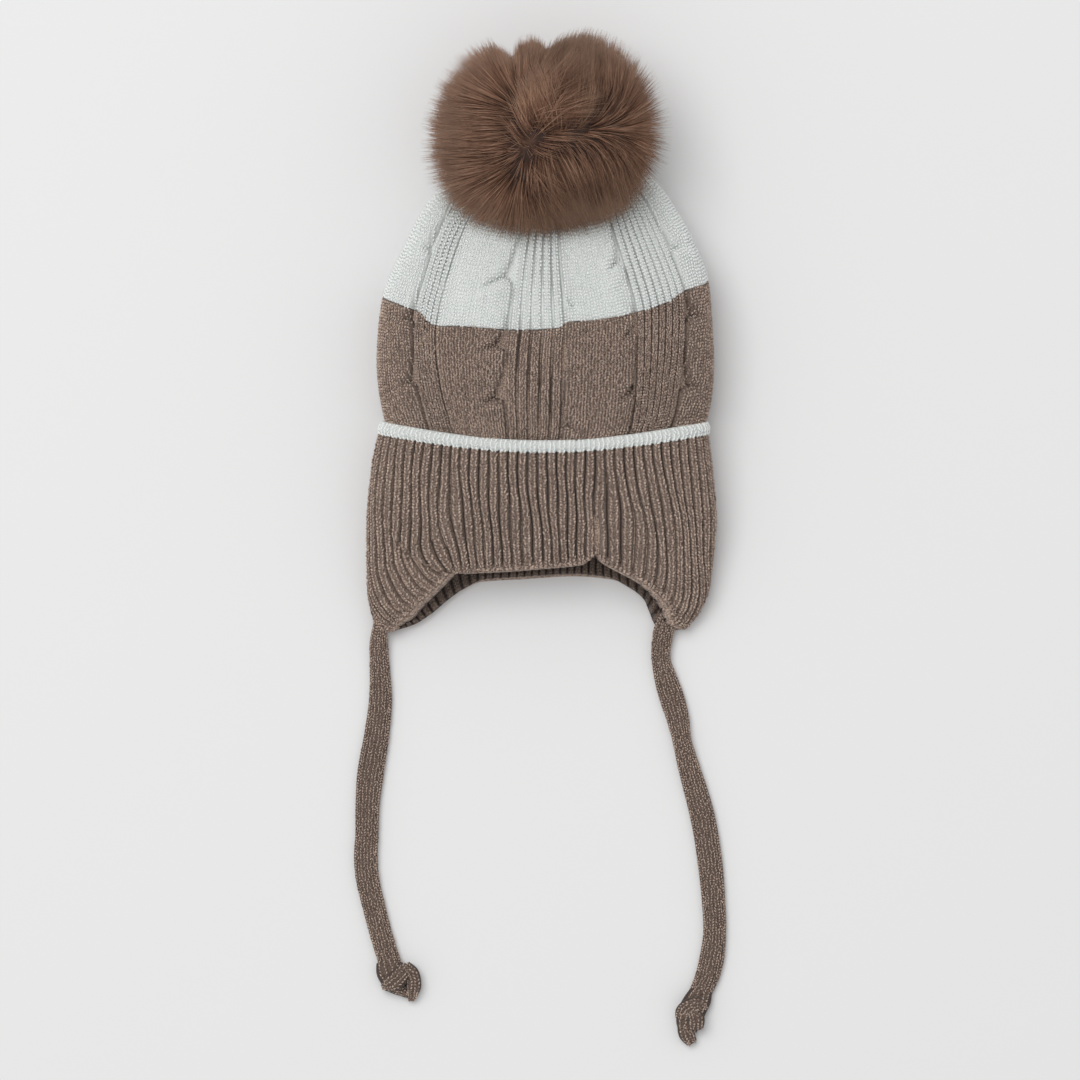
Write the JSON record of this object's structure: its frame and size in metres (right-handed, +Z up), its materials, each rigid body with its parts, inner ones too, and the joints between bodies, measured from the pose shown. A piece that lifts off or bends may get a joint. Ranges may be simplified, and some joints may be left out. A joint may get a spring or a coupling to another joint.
{
  "type": "child's knitted wool cap with ear flaps, fur pompom and ties",
  "caption": "Small child's knitted wool cap lying flat, with a cable-knit crown, ribbed turn-up with ear flaps, fur pompom and knotted ties.",
  "frame": {"origin": "on the surface that the cap lies on, under the middle of the crown's widest line", "axes": "+X across the cap to its right as seen from the front, +Y from the rim towards the pompom, +Z up from the surface, out of the cap's front"},
  "size_m": [0.2005, 0.5477, 0.0962],
  "materials": {
    "brown_wool": "matt mocha brown wool, ribbed and cable-knitted",
    "white_wool": "matt off-white wool, ribbed and cable-knitted",
    "fur": "soft brown fur, lighter at the tips"
  },
  "bodies": {
    "root": {"turn_up": "brown_wool", "white_edging": "white_wool", "crown_lower": "brown_wool", "crown_upper": "white_wool", "pompom": "fur", "tie_left": "brown_wool", "tie_right": "brown_wool", "knot_left": "brown_wool", "knot_right": "brown_wool"}
  },
  "joints": []
}
